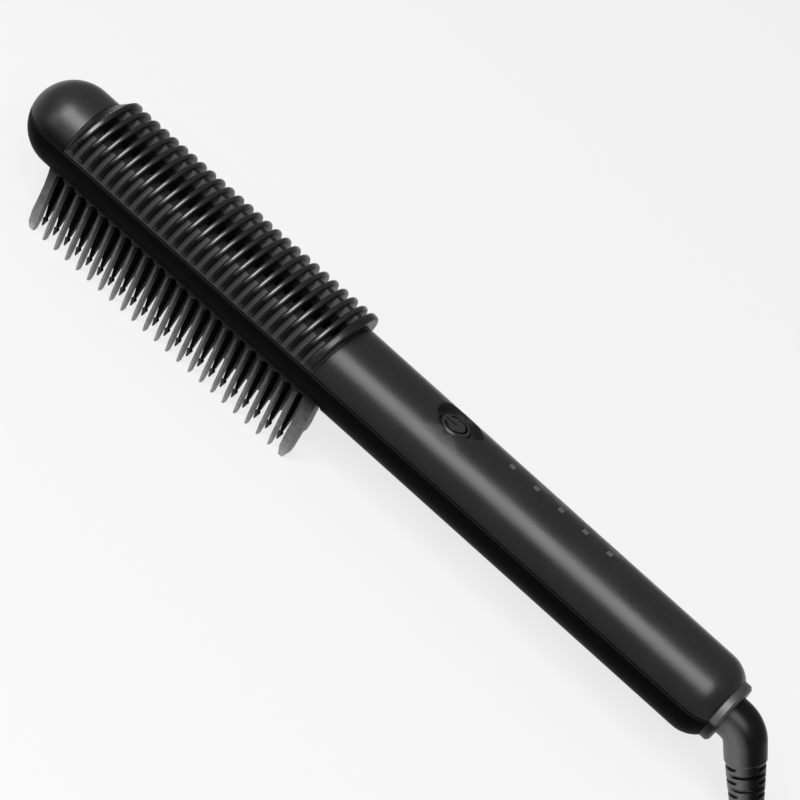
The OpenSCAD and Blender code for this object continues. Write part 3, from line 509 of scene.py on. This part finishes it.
# The finish of each material slot of the record.
SLOTS = {
    # Painted shade: the satin shell's gloss is tinted down on its lower sides, towards the belt.
    "shell_satin": surface("satin_shell", 0.009, 0.32, spec=0.46, bump=0.10, bevel=0.25,
                           tint=[(33.5, 0.06), (39.5, 0.45), (44.5, 1.0)]),
    "shell_gloss": surface("gloss_shell", 0.0012, 0.26, spec=0.03, bump=0.03, bevel=0.2),
    # The guard's greys carry painted shade that changes with the height.
    "guard_plastic": surface("guard", guard_painted_shade, 0.34, spec=0.16, bump=0.08, bevel=0.2),
    # Painted light and shade: the comb's grey grows lighter towards the teeth's tips, where light falls and the table
    # reflects, and near black at their roots under the body, where shade falls. Its gloss is tinted down towards the
    # roots too.
    "comb_plastic": surface("comb", [(0, 0.26), (3, 0.17), (7, 0.105), (13, 0.075), (18, 0.048), (21, 0.024),
                                     (22.8, 0.004), (24, 0.002)],
                            0.40, spec=0.35, bump=0.15, scale=700, bevel=0.12, vary=0.45, drift=500,
                            tint=[(2, 0.8), (14, 0.5), (22, 0.2)]),
    "coated_metal": surface("ceramic_coat", 0.0006, 0.35, spec=0.02, bump=0.05, scale=2000),
    "bead_plastic": surface("bead", 0.002, 0.22, spec=0.25, bump=0.02),
    "steel": surface("steel", 0.55, 0.30, metallic=1.0, scale=400),
    "film": surface("film", (0.55, 0.33, 0.08), 0.2),
    "copper_alloy": surface("brass", (0.72, 0.55, 0.28), 0.3, metallic=1.0),
    "ceramic": surface("ceramic", 0.2, 0.6, bump=0.3),
    "heat_plastic": surface("heat_plastic", (0.66, 0.63, 0.55), 0.5, bump=0.1),
    "component": surface("component", 0.03, 0.35),
    "board": surface("board", (0.03, 0.16, 0.07), 0.3),
    "wire": surface("wire", (0.60, 0.56, 0.46), 0.5),
    "diffuser": surface("diffuser", 0.075, 0.30, bump=0.02),
    "cord_rubber": surface("cord_rubber", 0.006, 0.36, spec=0.45, bump=0.12, scale=1200, bevel=0.2),
    "plug_plastic": surface("plug_plastic", 0.012, 0.45, bump=0.3, scale=1500),
    "pin_metal": surface("pin_metal", 0.70, 0.18, metallic=1.0, bump=0.02, scale=500),
}
# Nodes that look different from the rest of their slot.
OWN = {
    # Painted shade: the nose is painted blacker on its lower half, and its gloss is tinted down there.
    "nose_cap": surface("nose", [(0, 0.001), (34.5, 0.001), (39.5, 0.004), (45, 0.006), (50, 0.004)], 0.36, spec=0.8,
                        bump=0.10, bevel=0.25, tint=[(34.5, 0.03), (39.5, 0.35), (44.5, 1.0)]),
    "power_button": surface("button_cap", 0.014, 0.34, bump=0.05, bevel=0.3),
    "button_icon": surface("button_ring", 0.0006, 0.5, spec=0.02, bump=0.02),
    "end_collar": surface("collar", [(33.0, 0.0015), (34.0, 0.022), (52.0, 0.026)], 0.46, spec=0.9, bump=0.06,
                          bevel=0.25, tint=[(33.3, 0.05), (34.6, 1.0)]),
    # Painted highlight: a thin paler line on the belt just below the seam, where its edge would catch light.
    "lower_shell": surface("belt", [(0, 0.0012), (32.55, 0.0014), (32.75, 0.011), (33.0, 0.011), (33.15, 0.002),
                                    (50, 0.0012)], 0.40, spec=0.1, ior=1.15, bump=0.03, bevel=0.15),
}
# Painted shade: the gloss of the end rings and of the crests is tinted down lower on the guard, and the crests' grey
# grows darker lower down.
GUARD_RING = surface("ring", 0.007, 0.30, spec=0.45, bump=0.05, tint=[(37.0, 0.03), (46, 0.9), (53, 0.5)])
GUARD_CREST = surface("crest", [(33, 0.0015), (42.5, 0.0025), (45.5, 0.009), (53, 0.005)], 0.25, spec=1.0, ior=1.6,
                      bump=0.05, tint=[(42.0, 0.03), (45.5, 0.75), (53, 0.30)])
# The strain relief's rubber, with painted light on its lower front side.
BOOT_RUBBER = surface("boot_rubber", boot_painted_light, 0.34, spec=0.2, bump=0.10, scale=1200, vary=0.182)


def finish_nodes():
    """Every CAD node gets its own material or its slot's, and smooth shading."""
    slot_of = {part["node"]: part["material_slot"] for part in frame["record"]["subparts"]}
    for name in frame["nodes"]:
        piece = bpy.data.objects.get(name)
        if piece:
            piece.data.materials.clear()
            piece.data.materials.append(OWN.get(name, SLOTS[slot_of[name]]))
            smooth_shade(piece.data, 32)


def finish_guard():
    """The crests of the guard's ribs are glossy, and those of its two end rings less so."""
    mesh = bpy.data.objects["rib_guard"].data
    mesh.materials.append(GUARD_CREST)
    mesh.materials.append(GUARD_RING)
    for polygon in mesh.polygons:
        x, y, z = polygon.center * 1000
        if math.hypot(y, z - AXIS_Z - CREST_CENTRE) > CREST_R and z > AXIS_Z + CREST_FOOT:
            between_rings = GUARD_LOW[0] + FRONT_RING < x < GUARD_HIGH[0] - REAR_RING
            polygon.material_index = 1 if between_rings else 2


# ---------------------------------------------------------------- stage and light

FLOOR_HALF = 6.0
FLOOR_TONES = (0.855, 0.865)
FLOOR_GLOW, FLOOR_GLOW_SHARE = 0.90, 0.82
WORLD_STRENGTH = 0.30


def floor_material():
    """A white table. Seen straight or in a gloss it is near its own white, and keeps a soft shadow."""
    material = bpy.data.materials.new("floor")
    material.use_nodes = True
    tree = material.node_tree
    link = tree.links.new
    shader = tree.nodes["Principled BSDF"]
    shader.inputs["Roughness"].default_value = 0.9
    shader.inputs["Specular IOR Level"].default_value = 0.1
    place = tree.nodes.new("ShaderNodeTexCoord")
    noise = node(tree, "ShaderNodeTexNoise", Scale=300.0, Detail=3.0)
    link(place.outputs["Object"], noise.inputs["Vector"])
    link(colour_ramp(tree, noise.outputs["Fac"], list(zip((0.0, 1.0), FLOOR_TONES))), shader.inputs["Base Color"])

    glow = node(tree, "ShaderNodeEmission", Color=(FLOOR_GLOW, FLOOR_GLOW, FLOOR_GLOW, 1), Strength=1.0)
    rays = tree.nodes.new("ShaderNodeLightPath").outputs
    seen = math_node(tree, "MAXIMUM", rays["Is Camera Ray"], rays["Is Glossy Ray"])
    seen = math_node(tree, "MAXIMUM", seen, rays["Is Transmission Ray"])
    mix = tree.nodes.new("ShaderNodeMixShader")
    link(math_node(tree, "MULTIPLY", seen, FLOOR_GLOW_SHARE), mix.inputs[0])
    link(shader.outputs[0], mix.inputs[1])
    link(glow.outputs[0], mix.inputs[2])
    link(mix.outputs[0], tree.nodes["Material Output"].inputs["Surface"])
    return material


def make_stage():
    mesh = bpy.data.meshes.new("floor")
    corners = [(x * FLOOR_HALF, y * FLOOR_HALF, 0) for x, y in ((-1, -1), (1, -1), (1, 1), (-1, 1))]
    mesh.from_pydata(corners, [], [(0, 1, 2, 3)])
    mesh.materials.append(floor_material())
    floor = bpy.data.objects.new("floor", mesh)
    bpy.context.collection.objects.link(floor)
    world = bpy.data.worlds.new("world")
    bpy.context.scene.world = world
    world.use_nodes = True
    background = world.node_tree.nodes["Background"]
    background.inputs["Color"].default_value = (1, 1, 1, 1)
    background.inputs["Strength"].default_value = WORLD_STRENGTH


def area_light(name, direction, distance, length, height, power):
    """A lamp that shines at the body's middle from a direction, its length along the body. Sizes are in metres."""
    data = bpy.data.lights.new(name, "AREA")
    data.shape = "RECTANGLE"
    data.size, data.size_y = length, height
    data.energy = power
    lamp = bpy.data.objects.new(name, data)
    bpy.context.collection.objects.link(lamp)
    back = Vector(direction).normalized()
    right = Vector((1, 0, 0))
    right = (right - back * right.dot(back)).normalized()
    place_on_axes(lamp, right, back.cross(right), back, mm(0, 0, AXIS_Z) + back * distance)


make_camera()
CORD_PATH = smooth_path(cord_route(), CORD_STEP / 1000)
CORD = make_cord(CORD_PATH)
BOOT = make_boot()
finish_nodes()
finish_guard()
CORD.data.materials.append(SLOTS["cord_rubber"])
BOOT.data.materials.append(BOOT_RUBBER)
make_stage()
area_light("key", (-0.02, -0.709, 0.70), 2.0, 2.15, 1.16, 61)
area_light("fill", (-0.58, -0.81, 0.16), 1.5, 0.6, 0.5, 4.5)
bpy.context.scene.view_settings.view_transform = "Standard"
